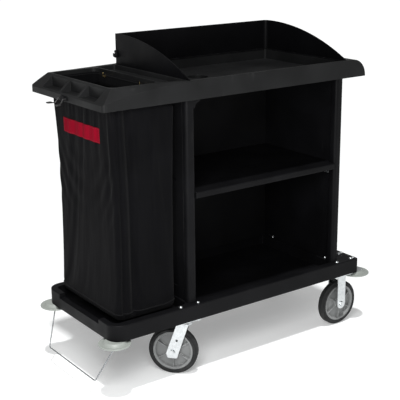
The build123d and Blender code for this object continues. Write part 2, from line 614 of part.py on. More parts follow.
EAR_Z = BASE_Z0 - BUMPER_GAP - WEB_T - 2.5      # underside of the bumper bolt's washer
with BuildPart() as bail_ears:
    for side in (-1, 1):
        y_bolt = side * LEFT_BUMPER[1]
        ear = sorted((y_bolt + side * 12, y_bolt + side * 15))
        block((-LEFT_BUMPER[0] - 12, -LEFT_BUMPER[0] + 12), sorted((y_bolt - side * 12, ear[0])),
              (EAR_Z - 3, EAR_Z))
        block((-LEFT_BUMPER[0] - 8, -LEFT_BUMPER[0] + 8), ear, (BAIL_Z - 8, EAR_Z))
        disc(at(-LEFT_BUMPER[0], y_bolt, EAR_Z - 4), 5 + LOOSE, 5, mode=Mode.SUBTRACT)
        disc(at(-LEFT_BUMPER[0], side * 250, BAIL_Z, (0, side, 0)), BAIL_R + RUNNING, 7,
             mode=Mode.SUBTRACT)
finish(bail_ears.part, "bail_ears")

with BuildPart() as bail:
    pin_end = 259.0
    bend = 12.0
    with BuildLine() as bail_path:
        FilletPolyline((-LEFT_BUMPER[0], -pin_end, BAIL_Z), (-LEFT_BUMPER[0], -BAIL_TOP_Y, BAIL_Z),
                       (BAIL_TIP[0], -BAIL_BAR_Y, BAIL_TIP[1]),
                       (BAIL_TIP[0], BAIL_BAR_Y, BAIL_TIP[1]),
                       (-LEFT_BUMPER[0], BAIL_TOP_Y, BAIL_Z), (-LEFT_BUMPER[0], pin_end, BAIL_Z),
                       radius=(3.5, bend, bend, 3.5))
    with BuildSketch(at(-LEFT_BUMPER[0], -pin_end, BAIL_Z, (0, 1, 0))):
        Circle(BAIL_R)
    sweep(path=bail_path.wires()[0])
finish(bail.part, "bail")

# ------------------------------------------------------------------ casters
PLATE_T = 4.0
PLATE_X = 52.0                      # half length of a caster plate
PLATE_Y = 51.0
LEG_W = 46.0
PLATE_Z = BASE_Z0 - PLATE_T
BRIDGE_Z = 222.0
RACE_Z = 228.5


def side_plane(centre, heading, offset):
    """The wheel's side plane: local x along its rolling line, local y up."""
    line = Vector(math.cos(heading), math.sin(heading), 0)
    axle = line.cross(Vector(0, 0, 1))
    return Plane(origin=centre, x_dir=line, z_dir=axle).offset(offset)


def radial_plane(centre, heading):
    """A half section of the wheel: local x is the radius, local y runs along the axle."""
    axle = Vector(math.sin(heading), -math.cos(heading), 0)
    return Plane(origin=centre, x_dir=(0, 0, 1), z_dir=Vector(0, 0, 1).cross(axle))


def axle_axis(centre, heading):
    """The wheel's axis of rotation."""
    return Axis(centre, Vector(math.sin(heading), -math.cos(heading), 0))


def cut_bolt_holes(x, y):
    """Drill the four bolt holes of a caster plate."""
    for px, py in bolt_points(x, y):
        disc(at(px, py, PLATE_Z - 1), BOLT_R + LOOSE, PLATE_T + 2, mode=Mode.SUBTRACT)


def fork_legs(centre, heading, swivels):
    """Add the two legs of a fork: slanting on a swivel fork, upright on a rigid one."""
    for near in (LEG_IN, -LEG_IN - LEG_T):
        with BuildSketch(side_plane(centre, heading, near)) as leg:
            if swivels:
                top = BRIDGE_Z - WHEEL_R + 6
                Polygon((TRAIL - 24, top), (-25, -6), (-19, -26), (20, -26), (26, -6),
                        (TRAIL + 24, top), align=None)
                fillet(leg.vertices().group_by(Axis.Y)[:2], 7)
                with Locations(Location((20, 52), -18)):
                    Rectangle(9, 9, mode=Mode.SUBTRACT)
            else:
                top = PLATE_Z - WHEEL_R
                with Locations((0, top / 2)):
                    Rectangle(LEG_W, top)
                Circle(LEG_W / 2)
            Circle(AXLE_R + LOOSE, mode=Mode.SUBTRACT)
        extrude(leg.sketch, amount=LEG_T)


for name, (x, y, degrees, swivels) in CASTERS.items():
    heading = math.radians(degrees)
    back = TRAIL if swivels else 0.0
    centre = (x - back * math.cos(heading), y - back * math.sin(heading), WHEEL_R)

    if swivels:
        with BuildPart() as swivel_plate:
            block((x - PLATE_X, x + PLATE_X), (y - PLATE_Y, y + PLATE_Y), (PLATE_Z, BASE_Z0), corner=8)
            cut_bolt_holes(x, y)
            disc(at(x, y, PLATE_Z - 1), KINGPIN_R + LOOSE, PLATE_T + 2, mode=Mode.SUBTRACT)
        finish(swivel_plate.part, f"swivel_plate_{name}")
        with BuildPart() as race:
            disc(at(x, y, RACE_Z), 34, PLATE_Z - RACE_Z)
            fillet(race.edges().sort_by(Axis.Z)[0], 4)
            disc(at(x, y, RACE_Z - 1), 20, PLATE_Z - RACE_Z + 2, mode=Mode.SUBTRACT)
        finish(race.part, f"ball_race_{name}")
        with BuildPart() as kingpin:
            disc(at(x, y, BRIDGE_Z - 1), KINGPIN_R, BASE_Z0 - BRIDGE_Z)
            hexagon(at(x, y, BRIDGE_Z - 8.5), 22, 8)
        finish(kingpin.part, f"kingpin_{name}")
        with BuildPart() as fork:
            fork_legs(centre, heading, True)
            with BuildSketch(Plane(origin=(x, y, BRIDGE_Z),
                                   x_dir=(math.cos(heading), math.sin(heading), 0))):
                RectangleRounded(48, 2 * (LEG_IN + LEG_T), 2)
                Circle(33)
            extrude(amount=6)
            disc(at(x, y, BRIDGE_Z - 1), KINGPIN_R + RUNNING, 8, mode=Mode.SUBTRACT)
        finish(fork.part, f"swivel_fork_{name}")
    else:
        with BuildPart() as frame:
            block((x - PLATE_X, x + PLATE_X), (y - PLATE_Y, y + PLATE_Y), (PLATE_Z, BASE_Z0), corner=8)
            fork_legs(centre, heading, False)
            block((x - LEG_W / 2, x + LEG_W / 2), (y - LEG_IN - LEG_T, y + LEG_IN + LEG_T),
                  (PLATE_Z - 5, PLATE_Z))
            cut_bolt_holes(x, y)
        finish(frame.part, f"rigid_frame_{name}")

    with BuildPart() as axle:
        leg_face = LEG_IN + LEG_T
        disc(side_plane(centre, heading, -leg_face - 9), AXLE_R, 2 * leg_face + 12)
        hexagon(side_plane(centre, heading, leg_face), 19, 7)
        hexagon(side_plane(centre, heading, -leg_face - 8), 19, 8)
    finish(axle.part, f"axle_bolt_{name}")

    with BuildPart() as bush:
        disc(side_plane(centre, heading, -26), 10, 52)
        disc(side_plane(centre, heading, -27), AXLE_R + RUNNING, 54, mode=Mode.SUBTRACT)
    finish(bush.part, f"wheel_bush_{name}")

    with BuildPart() as hub:
        with BuildSketch(radial_plane(centre, heading)):
            with BuildLine():
                Polyline((10.1, -25), (17, -25), (21, -7), (70, -3.5), (73, -15), (76, -17),
                         (HUB_R, -17), (HUB_R, 17), (76, 17), (73, 15), (70, 3.5), (21, 7),
                         (17, 25), (10.1, 25), close=True)
            make_face()
        revolve(axis=axle_axis(centre, heading))
        for near, amount in ((2.5, 12.0), (-2.5, -12.0)):
            with BuildSketch(side_plane(centre, heading, near)):
                with PolarLocations(44, 6, start_angle=30):
                    Rectangle(58, 3.6)
            extrude(amount=amount)
    finish(hub.part, f"wheel_hub_{name}")

    with BuildPart() as tyre:
        with BuildSketch(radial_plane(centre, heading)):
            with BuildLine():
                Polyline((HUB_R + 0.1, 17), (HUB_R + 0.1, -17), (84, -19.5), (92, -20.5))
                RadiusArc((92, -20.5), (WHEEL_R, -11), 10)
                Line((WHEEL_R, -11), (WHEEL_R, 11))
                RadiusArc((WHEEL_R, 11), (92, 20.5), 10)
                Polyline((92, 20.5), (84, 19.5), (HUB_R + 0.1, 17))
            make_face()
        revolve(axis=axle_axis(centre, heading))
    finish(tyre.part, f"tyre_{name}")

with BuildPart() as caster_bolts:
    for x, y in ALL_BOLTS:
        seat = bolt_seat(x, y)
        disc(at(x, y, seat), 8.5, 1.5)
        disc(at(x, y, seat + 1.5), 7, 3.5, taper=28)
        disc(at(x, y, PLATE_Z - NUT_H), BOLT_R, seat - PLATE_Z + NUT_H)
finish(caster_bolts.part, "caster_bolts")

with BuildPart() as caster_nuts:
    for x, y in ALL_BOLTS:
        hexagon(at(x, y, PLATE_Z - NUT_H), 13, NUT_H)
        disc(at(x, y, PLATE_Z - NUT_H - 1), BOLT_R, NUT_H + 2, mode=Mode.SUBTRACT)
finish(caster_nuts.part, "caster_nuts")
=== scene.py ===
"""Looks of the housekeeping cart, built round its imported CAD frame. Lengths are in metres."""

import math
import random

import bmesh
import bpy
from mathutils import Euler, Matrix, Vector
from mathutils.bvhtree import BVHTree


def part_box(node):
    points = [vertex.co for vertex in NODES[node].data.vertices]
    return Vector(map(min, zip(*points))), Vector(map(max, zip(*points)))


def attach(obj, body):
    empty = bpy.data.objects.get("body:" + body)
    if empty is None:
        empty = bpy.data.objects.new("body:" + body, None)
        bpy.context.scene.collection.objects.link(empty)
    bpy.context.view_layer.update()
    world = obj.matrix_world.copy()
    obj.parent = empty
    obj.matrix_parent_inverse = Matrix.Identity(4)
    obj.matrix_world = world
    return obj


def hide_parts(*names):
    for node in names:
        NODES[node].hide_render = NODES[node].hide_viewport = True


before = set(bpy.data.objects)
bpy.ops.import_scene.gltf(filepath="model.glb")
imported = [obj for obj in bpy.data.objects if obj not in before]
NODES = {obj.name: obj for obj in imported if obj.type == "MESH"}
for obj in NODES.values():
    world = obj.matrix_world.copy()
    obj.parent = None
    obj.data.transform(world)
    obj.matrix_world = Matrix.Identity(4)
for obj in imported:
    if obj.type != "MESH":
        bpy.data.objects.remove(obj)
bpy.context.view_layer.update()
scene = bpy.context.scene
MM = 0.001


def place(name, data):
    """Put a mesh, lamp or camera into the scene as an object."""
    made = bpy.data.objects.new(name, data)
    scene.collection.objects.link(made)
    return made


def finished_mesh(name, bm):
    mesh = bpy.data.meshes.new(name)
    bm.to_mesh(mesh)
    bm.free()
    return mesh


# ------------------------------------------------------------------ camera, floor and light
CAMERA_AT = (-2.3005, -3.1573, 1.7987)
CAMERA_YAW = math.radians(35.56)        # from +Y towards +X
CAMERA_DROP = math.radians(16.61)
CAMERA_ROLL = math.radians(-0.64)
LENS = 86.32
FLOOR_HALF = 40.0
SUN_WAY = (0.14, 0.25, -1)


def make_camera():
    data = bpy.data.cameras.new("camera")
    data.lens = LENS
    data.sensor_width = 36.0
    data.clip_end = 200.0
    camera = place("camera", data)
    camera.location = CAMERA_AT
    turn = Euler((math.pi / 2 - CAMERA_DROP, 0.0, -CAMERA_YAW), "XYZ").to_matrix()
    roll = Euler((0.0, 0.0, CAMERA_ROLL), "XYZ").to_matrix()
    camera.rotation_euler = (turn @ roll).to_euler()
    scene.camera = camera


def make_area(name, at, aim, size, power):
    data = bpy.data.lights.new(name, "AREA")
    data.shape = "RECTANGLE"
    data.size, data.size_y = size
    data.energy = power
    light = place(name, data)
    light.visible_camera = False
    light.location = at
    light.rotation_euler = (Vector(aim) - Vector(at)).to_track_quat("-Z", "Y").to_euler()


def make_studio():
    floor_mesh = bpy.data.meshes.new("floor")
    half = FLOOR_HALF
    floor_mesh.from_pydata([(-half, -half, 0), (half, -half, 0), (half, half, 0), (-half, half, 0)],
                           [], [(0, 1, 2, 3)])
    floor = place("floor", floor_mesh)
    paint = bpy.data.materials.new("floor_paint")
    paint.use_nodes = True
    shader = paint.node_tree.nodes["Principled BSDF"]
    shader.inputs["Base Color"].default_value = (0.80, 0.81, 0.81, 1)
    shader.inputs["Roughness"].default_value = 0.9
    shader.inputs["Specular IOR Level"].default_value = 0.1
    shader.inputs["Emission Color"].default_value = (1, 1, 1, 1)
    shader.inputs["Emission Strength"].default_value = 0.26
    floor_mesh.materials.append(paint)

    world = bpy.data.worlds.new("studio")
    scene.world = world
    world.use_nodes = True
    sky = world.node_tree.nodes["Background"]
    sky.inputs["Color"].default_value = (1, 1, 1, 1)
    sky.inputs["Strength"].default_value = 0.30

    sun = bpy.data.lights.new("overhead", "SUN")
    sun.energy = 2.3
    sun.angle = math.radians(3)
    lamp = place("overhead", sun)
    lamp.rotation_euler = Vector(SUN_WAY).to_track_quat("-Z", "Y").to_euler()
    make_area("front_soft", (-1.25, -1.35, 1.45), (-0.60, -0.2, 1.12), (0.8, 0.8), 34)
    make_area("right_soft", (3.4, -1.6, 1.5), (0.5, 0, 0.7), (1.0, 2.0), 5)

    scene.view_settings.view_transform = "Standard"


# ------------------------------------------------------------------ material nodes
class Paint:
    """A node material under construction, with its textures in the cart's own metres."""

    def __init__(self, name, colour, roughness, metallic=0.0, specular=0.5):
        self.material = bpy.data.materials.new(name)
        self.material.use_nodes = True
        self.tree = self.material.node_tree
        self.shader = self.tree.nodes["Principled BSDF"]
        self.set("Base Color", (*colour, 1))
        self.set("Roughness", roughness)
        self.set("Metallic", metallic)
        self.set("Specular IOR Level", specular)
        self.where = self.node("ShaderNodeTexCoord").outputs["Object"]

    def set(self, socket, value):
        self.shader.inputs[socket].default_value = value

    def node(self, kind, **settings):
        made = self.tree.nodes.new(kind)
        for key, value in settings.items():
            setattr(made, key, value)
        return made

    def link(self, source, target):
        self.tree.links.new(source, target)

    def plug(self, socket, source):
        self.link(source, self.shader.inputs[socket])

    def spread(self, stretch=(1, 1, 1), source=None):
        """Texture coordinates scaled per axis."""
        mapping = self.node("ShaderNodeMapping")
        mapping.inputs["Scale"].default_value = stretch
        self.link(source or self.where, mapping.inputs["Vector"])
        return mapping.outputs["Vector"]

    def noise(self, scale, detail=3.0, stretch=(1, 1, 1), source=None):
        texture = self.node("ShaderNodeTexNoise")
        texture.inputs["Scale"].default_value = scale
        texture.inputs["Detail"].default_value = detail
        self.link(self.spread(stretch, source), texture.inputs["Vector"])
        return texture.outputs["Fac"]

    def cells(self, scale, feature="F1", source=None):
        texture = self.node("ShaderNodeTexVoronoi", feature=feature)
        texture.inputs["Scale"].default_value = scale
        self.link(source or self.where, texture.inputs["Vector"])
        return texture.outputs["Distance"]

    def curve(self, value, low, high, to_low=0.0, to_high=1.0):
        """Map a stretch of values onto another, smoothly and clamped."""
        mapped = self.node("ShaderNodeMapRange", interpolation_type="SMOOTHSTEP")
        for socket, number in (("From Min", low), ("From Max", high),
                               ("To Min", to_low), ("To Max", to_high)):
            mapped.inputs[socket].default_value = number
        self.link(value, mapped.inputs["Value"])
        return mapped.outputs["Result"]

    def math(self, operation, first, second):
        made = self.node("ShaderNodeMath", operation=operation)
        for socket, value in zip(made.inputs, (first, second)):
            if isinstance(value, (int, float)):
                socket.default_value = value
            else:
                self.link(value, socket)
        return made.outputs[0]

    def blend(self, share, first, second):
        """Mix two colours, each a triple or a socket, by a share."""
        mix = self.node("ShaderNodeMix", data_type="RGBA")
        self.link(share, mix.inputs["Factor"])
        for socket, value in ((mix.inputs["A"], first), (mix.inputs["B"], second)):
            if isinstance(value, tuple):
                socket.default_value = (*value, 1)
            else:
                self.link(value, socket)
        return mix.outputs["Result"]

    def bump(self, height, strength, depth, under=None):
        made = self.node("ShaderNodeBump")
        made.inputs["Strength"].default_value = strength
        made.inputs["Distance"].default_value = depth
        self.link(height, made.inputs["Height"])
        if under is not None:
            self.link(under, made.inputs["Normal"])
        return made.outputs["Normal"]

    def rounded(self, radius):
        """Normals that run round an edge of that radius, and a mask of where they do."""
        bevel = self.node("ShaderNodeBevel", samples=6)
        bevel.inputs["Radius"].default_value = radius
        flat = self.node("ShaderNodeNewGeometry").outputs["Normal"]
        turn = self.node("ShaderNodeVectorMath", operation="DOT_PRODUCT")
        self.link(bevel.outputs["Normal"], turn.inputs[0])
        self.link(flat, turn.inputs[1])
        return bevel.outputs["Normal"], self.curve(turn.outputs["Value"], 0.995, 0.90)


def tint(colour, factor):
    return tuple(min(1.0, c * factor) for c in colour)


def moulded(name, colour, roughness, specular=0.5, grain=900.0, depth=0.12, wear_and_highlight_amount=0.5, edge=1.6,
            wear_and_highlight_colour=(0.09, 0.09, 0.09), patchy=0.25):
    """Moulded plastic: fine grain, cloudy gloss, colour variation, and paler edges, partly from
    rubbing and partly a painted edge highlight.
    """
    paint = Paint(name, colour, roughness, specular=specular)
    round_normal, edges = paint.rounded(edge * MM)
    cloud = paint.noise(5.0, 5.0)
    body = paint.blend(paint.curve(cloud, 0.3, 0.7), tint(colour, 1 - patchy),
                       tint(colour, 1 + patchy))
    scuffs = paint.curve(paint.noise(55.0, 6.0, (1, 1, 0.25)), 0.62, 0.80, 0.0, 0.35 * wear_and_highlight_amount)
    body = paint.blend(scuffs, body, wear_and_highlight_colour)
    # the edge mask, broken up by noise, paints the edges paler: partly rubbing, partly a painted
    # edge highlight
    edge_wear_and_highlight = paint.math("MULTIPLY", edges, paint.curve(paint.noise(40.0, 5.0), 0.42, 0.66, 0, wear_and_highlight_amount))
    paint.plug("Base Color", paint.blend(edge_wear_and_highlight, body, wear_and_highlight_colour))
    gloss = paint.curve(paint.noise(9.0, 6.0), 0.25, 0.75, roughness - 0.07, roughness + 0.09)
    paint.plug("Roughness", gloss)
    pebbles = paint.math("ADD", paint.cells(grain, "SMOOTH_F1"), paint.noise(grain * 0.45, 2.0))
    paint.plug("Normal", paint.bump(pebbles, depth, 0.25 * MM, round_normal))
    return paint.material


def tyre_rubber():
    """Grey rubber: dull, dusty, with fine rubbing marks, and edges painted paler, partly rubbing
    and partly a painted highlight.
    """
    paint = Paint("tyre_rubber", (0.018, 0.018, 0.019), 0.75, specular=0.25)
    round_normal, edges = paint.rounded(1.5 * MM)
    dust = paint.curve(paint.noise(38.0, 7.0), 0.45, 0.75, 0.0, 0.45)
    body = paint.blend(dust, (0.014, 0.0145, 0.015), (0.040, 0.040, 0.039))
    # all edges are painted paler evenly: partly rubbing, partly a painted highlight line at the rim
    edge_wear_and_highlight = paint.math("MULTIPLY", edges, 0.4)
    paint.plug("Base Color", paint.blend(edge_wear_and_highlight, body, (0.07, 0.07, 0.07)))
    paint.plug("Roughness", paint.curve(paint.noise(60.0, 4.0), 0.3, 0.7, 0.62, 0.85))
    paint.plug("Normal", paint.bump(paint.noise(420.0, 6.0), 0.25, 0.4 * MM, round_normal))
    return paint.material


def zinc(name="zinc_plate", colour=(0.60, 0.62, 0.63), roughness=0.30):
    """Bright zinc plate: brushed one way, with faint spangle and dull spots."""
    paint = Paint(name, colour, roughness, metallic=1.0)
    round_normal, _ = paint.rounded(0.8 * MM)
    spangle = paint.curve(paint.noise(90.0, 5.0), 0.3, 0.7)
    paint.plug("Base Color", paint.blend(spangle, tint(colour, 0.92), tint(colour, 1.06)))
    dull = paint.curve(paint.noise(25.0, 6.0), 0.35, 0.75, roughness - 0.08, roughness + 0.18)
    paint.plug("Roughness", dull)
    brushed = paint.noise(260.0, 3.0, (1, 1, 0.06))
    paint.plug("Normal", paint.bump(brushed, 0.10, 0.2 * MM, round_normal))
    return paint.material


def brass():
    """Polished brass with a slight tarnish."""
    paint = Paint("polished_brass", (0.80, 0.60, 0.28), 0.22, metallic=1.0)
    tarnish = paint.curve(paint.noise(160.0, 4.0), 0.4, 0.75)
    paint.plug("Base Color", paint.blend(tarnish, (0.84, 0.64, 0.30), (0.42, 0.29, 0.12)))
    paint.plug("Roughness", paint.curve(paint.noise(220.0, 3.0), 0.3, 0.7, 0.16, 0.38))
    return paint.material


def woven(name, colour, thread, roughness=0.85, sheen=0.15, specular=0.15, lift=0.5, shade=0.45):
    """Plain weave from the piece's own cloth coordinates, in metres."""
    paint = Paint(name, colour, roughness, specular=specular)
    cloth = paint.node("ShaderNodeUVMap", uv_map="cloth").outputs["UV"]
    split = paint.node("ShaderNodeSeparateXYZ")
    paint.link(cloth, split.inputs[0])
    turns = 2 * math.pi / thread
    across = paint.math("SINE", paint.math("MULTIPLY", split.outputs["X"], turns), 0.0)
    along = paint.math("SINE", paint.math("MULTIPLY", split.outputs["Y"], turns), 0.0)
    weave = paint.math("MULTIPLY", across, along)
    slub = paint.noise(70.0, 5.0, (1, 0.08, 1), cloth)
    cloud = paint.curve(paint.noise(6.0, 6.0), 0.3, 0.7)
    paler = tint(colour, 1 + shade)
    body = paint.blend(cloud, tint(colour, 1 - shade), colour)
    body = paint.blend(paint.curve(weave, -0.9, 0.9, 0.0, 0.55), body, paler)
    body = paint.blend(paint.curve(slub, 0.55, 0.75, 0.0, 0.4), body, paler)
    paint.plug("Base Color", body)
    fine = paint.bump(weave, lift, 0.15 * MM)
    paint.plug("Normal", paint.bump(slub, 0.2, 0.4 * MM, fine))
    dull = paint.curve(slub, 0.3, 0.7, roughness - 0.08, min(1.0, roughness + 0.08))
    paint.plug("Roughness", dull)
    paint.set("Sheen Weight", sheen)
    paint.set("Sheen Roughness", 0.5)
    return paint.material


def dress(paint, *names):
    for name in names:
        mesh = NODES[name].data
        mesh.materials.clear()
        mesh.materials.append(paint)


WHEELS = ("front_left", "rear_left", "front_right", "rear_right")
SWIVELS = ("front_left", "rear_left")
FIXED = ("front_right", "rear_right")


def dress_frame():
    """Give every CAD node that stays its material."""
    foam = moulded("black_foam", (0.0040, 0.0040, 0.0046), 0.48, specular=0.08, grain=700,
                   wear_and_highlight_colour=(0.025, 0.025, 0.025))
    dress(foam, "base_platform", "divider_panel", "end_panel", "middle_shelf", "back_cover_strips",
          "side_hook", "tool_holder_bracket", "guard_screws")
    dress(moulded("tray_skin", (0.0085, 0.0087, 0.0090), 0.44, specular=0.10, grain=1100,
                  depth=0.10, wear_and_highlight_colour=(0.04, 0.04, 0.04)), "top_tray")
    dress(moulded("guard_skin", (0.0022, 0.0022, 0.0026), 0.42, specular=0.05, grain=1300,
                  depth=0.06, wear_and_highlight_colour=(0.02, 0.02, 0.02)), "tray_guard")
    dress(moulded("back_skin", (0.004, 0.004, 0.0045), 0.58, specular=0.12, grain=600,
                  wear_and_highlight_colour=(0.03, 0.03, 0.03)), "back_panel")
    dress(moulded("bumper_skin", (0.27, 0.29, 0.27), 0.42, specular=0.4, grain=800, depth=0.08,
                  wear_and_highlight_amount=0.8, wear_and_highlight_colour=(0.13, 0.14, 0.13), patchy=0.08),
          *(f"bumper_{w}" for w in WHEELS))
    # the hubs' edges are painted near white: partly rubbing, partly a painted highlight ring round
    # the rim
    dress(moulded("hub_skin", (0.19, 0.195, 0.195), 0.45, specular=0.4, grain=900, depth=0.10,
                  wear_and_highlight_amount=1.0, wear_and_highlight_colour=(0.60, 0.61, 0.61), patchy=0.10, edge=2.2),
          *(f"wheel_hub_{w}" for w in WHEELS))
    dress(moulded("natural_nylon", (0.62, 0.60, 0.54), 0.45, wear_and_highlight_amount=0.2, wear_and_highlight_colour=(0.4, 0.38, 0.33),
                  patchy=0.06), *(f"wheel_bush_{w}" for w in WHEELS))
    dress(tyre_rubber(), *(f"tyre_{w}" for w in WHEELS))
    dress(zinc(), "back_screws", "shelf_rail_left", "shelf_rail_right", "shelf_rail_screws",
          "tray_screws", "bumper_bolts", "bumper_nuts", "bumper_brackets",
          "bracket_bolts", "bail_ears", "caster_bolts", "caster_nuts",
          *(f"axle_bolt_{w}" for w in WHEELS), *(f"rigid_frame_{w}" for w in FIXED),
          *(f"{part}_{w}" for part in ("swivel_plate", "ball_race", "kingpin", "swivel_fork")
            for w in SWIVELS))
    dress(zinc("bail_plate", (0.30, 0.31, 0.32), 0.42), "bail")
    dress(moulded("coated_wire", (0.012, 0.012, 0.012), 0.35, wear_and_highlight_amount=0.2, edge=0.4),
          "tool_holder_arms")
    dress(brass(), "bag_grommets", "bag_hooks")


# ------------------------------------------------------------------ bag
BAG_ROUND = 240                  # points round the bag
BAG_RISE = 110                   # levels up the bag
CORNER = 26 * MM
CREASES = (                      # from the bag's end at the top and at the floor, depth, width
    (16 * MM, 28 * MM, 15 * MM, 8 * MM),
    (64 * MM, 76 * MM, 19 * MM, 15 * MM),
)
CREASE_FADE = (0.05, 0.06)       # a crease fades over these shares of the height, below and above
CREASE_TURN = (0.45, 2.5)        # where a crease starts as the cloth turns sideways, and how fast
CLOTH_T = 1.6 * MM
CAST_FROM = 0.3                  # how far before the cloth a ray starts
FAR = 1.0
EAST, WEST, NORTH = Vector((1, 0, 0)), Vector((-1, 0, 0)), Vector((0, 1, 0))
LEVEL_INSET = 1 * MM             # the first and last level lie this far inside the solid


def search_tree(mesh):
    """A search tree of a mesh, to cast rays at."""
    return BVHTree.FromPolygons([v.co.copy() for v in mesh.vertices],
                                [tuple(p.vertices) for p in mesh.polygons])


def rounded_point(share, half_x, half_y, radius):
    """Point and outward normal at a share of the way round a rounded rectangle."""
    straight_x, straight_y = 2 * (half_x - radius), 2 * (half_y - radius)
    arc = math.pi / 2 * radius
    along = share * (2 * straight_x + 2 * straight_y + 4 * arc)
    runs = ((straight_x, 0.0, (-half_x + radius, -half_y)),
            (straight_y, 90.0, (half_x, -half_y + radius)),
            (straight_x, 180.0, (half_x - radius, half_y)),
            (straight_y, 270.0, (-half_x, half_y - radius)))
    for length, heading, start in runs:
        turn = math.radians(heading)
        way = Vector((math.cos(turn), math.sin(turn)))
        out = Vector((way.y, -way.x))
        if along <= length:
            return Vector(start) + way * along, out
        along -= length
        if along <= arc:
            swing = along / radius
            centre = Vector(start) + way * length - out * radius
            spoke = out * math.cos(swing) + way * math.sin(swing)
            return centre + spoke * radius, spoke
        along -= arc
    return Vector((-half_x + radius, -half_y)), Vector((0, -1))


CLEAR_Y = -165 * MM              # a place across the bag's end that is clear of the label


def bag_levels():
    """Heights up the bag with its centre and half sizes there, read from the CAD solid."""
    solid = search_tree(NODES["bag"].data)
    low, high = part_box("bag")
    middle = (low.x + high.x) / 2
    levels = []
    for step in range(BAG_RISE + 1):
        z = low.z + LEVEL_INSET + (high.z - low.z - 2 * LEVEL_INSET) * step / BAG_RISE
        left = solid.ray_cast(Vector((low.x - FAR, CLEAR_Y, z)), EAST)[0].x
        right = solid.ray_cast(Vector((high.x + FAR, 0, z)), WEST)[0].x
        front = solid.ray_cast(Vector((middle, low.y - FAR, z)), NORTH)[0].y
        levels.append((z, (left + right) / 2, (right - left) / 2, -front))
    return levels


def crease(from_end, out, height):
    """How far the cloth of the two long sides is drawn in beside the bag's free end."""
    start, rate = CREASE_TURN
    side = max(0.0, min(1.0, rate * (abs(out.y) - start)))
    below, above = CREASE_FADE
    fade = max(0.0, min(1.0, height / below, (1 - height) / above))
    drawn = sum(depth * math.exp(-((from_end - low - (top - low) * height) / width) ** 2)
                for top, low, depth, width in CREASES)
    return -drawn * side * fade


FLOOR_RINGS = (                  # size of each ring of the floor, and if it has half the points
    (0.88, False), (0.76, False), (0.64, False), (0.52, True), (0.40, False), (0.30, True),
    (0.20, False), (0.13, True), (0.07, True),
)


def close_floor(bm, ring, level, cloth):
    """Close the bag's floor with rings that get coarser towards the middle."""
    z, centre, _, _ = level
    edge = [Vector(vert.co) for vert in ring]
    faces = []
    for share, halved in FLOOR_RINGS:
        if halved:
            edge = edge[::2]
        inner = [bm.verts.new((centre + (at.x - centre) * share, at.y * share, z)) for at in edge]
        count = len(inner)
        for k in range(count):
            ahead = (k + 1) % count
            if halved:
                here, between, there = ring[2 * k], ring[2 * k + 1], ring[2 * ahead]
                faces.append(bm.faces.new((between, here, inner[k])))
                faces.append(bm.faces.new((there, between, inner[k], inner[ahead])))
            else:
                faces.append(bm.faces.new((ring[ahead], ring[k], inner[k], inner[ahead])))
        ring = inner
    faces.append(bm.faces.new(list(reversed(ring))))
    for face in faces:
        for loop in face.loops:
            loop[cloth].uv = (loop.vert.co.x, loop.vert.co.y)


def bag_mesh():
    """The cloth tube with its floor and its cloth coordinates."""
    bm = bmesh.new()
    cloth = bm.loops.layers.uv.new("cloth")
    levels = bag_levels()
    rows, places = [], {}
    for z, centre, half_x, half_y in levels:
        girth = 4 * (half_x + half_y)
        row = []
        for k in range(BAG_ROUND):
            flat, _ = rounded_point(k / BAG_ROUND, half_x - CLOTH_T, half_y - CLOTH_T, CORNER)
            vert = bm.verts.new((centre + flat.x, flat.y, z))
            places[vert] = (k / BAG_ROUND * girth, z)
            row.append(vert)
        rows.append(row)
    for low_row, high_row in zip(rows, rows[1:]):
        for k in range(BAG_ROUND):
            ahead = (k + 1) % BAG_ROUND
            face = bm.faces.new((low_row[k], low_row[ahead], high_row[ahead], high_row[k]))
            for loop in face.loops:
                u, v = places[loop.vert]
                if ahead == 0 and loop.vert in (low_row[0], high_row[0]):
                    u += 4 * (levels[0][2] + levels[0][3])
                loop[cloth].uv = (u, v)
    close_floor(bm, rows[0], levels[0], cloth)
    return finished_mesh("bag_cloth", bm)


SIM_FRAMES = 22
HELD_BELOW, HELD_ABOVE = 0.012, 0.93    # shares of the bag's height, where the cloth is held
MOST_OUT = 3.5 * MM              # how far a point may move outwards, and inwards
MOST_IN = 6 * MM
AXIS_CLEAR = 0.01                # nearer the bag's axis, no way counts as outwards


def hang_cloth(piece, levels):
    """Let the bag hang as cloth between its mouth and its floor, and keep the result."""
    mesh = piece.data
    rest = [v.co.copy() for v in mesh.vertices]
    low, high = levels[0][0], levels[-1][0]
    held = piece.vertex_groups.new(name="held")
    for vert in mesh.vertices:
        height = (vert.co.z - low) / (high - low)
        if height < HELD_BELOW or height > HELD_ABOVE:
            held.add([vert.index], 1.0, "REPLACE")
    sim = piece.modifiers.new("cloth", "CLOTH")
    settings = sim.settings
    settings.quality = 6
    settings.mass = 0.35
    settings.tension_stiffness = 18
    settings.compression_stiffness = 18
    settings.shear_stiffness = 6
    settings.bending_stiffness = 4.0
    settings.vertex_group_mass = "held"
    settings.shrink_min = -0.010
    settings.effector_weights.gravity = 0.6
    sim.collision_settings.use_collision = False
    sim.point_cache.frame_start = 1
    sim.point_cache.frame_end = SIM_FRAMES
    for step in range(1, SIM_FRAMES + 1):
        scene.frame_set(step)
    moved = piece.evaluated_get(bpy.context.evaluated_depsgraph_get()).to_mesh()
    middle = levels[0][1]
    target = []
    for before, vert in zip(rest, moved.vertices):
        shift = vert.co - before
        out = Vector((before.x - middle, before.y, 0))
        outward = shift.dot(out.normalized()) if out.length > AXIS_CLEAR else 0.0
        most = MOST_OUT if outward > 0 else MOST_IN
        if shift.length > 1e-9:
            shift *= most * math.tanh(shift.length / most) / shift.length
        target.append(before + shift)
    piece.modifiers.clear()
    scene.frame_set(1)
    for vert, spot in zip(mesh.vertices, target):
        vert.co = spot


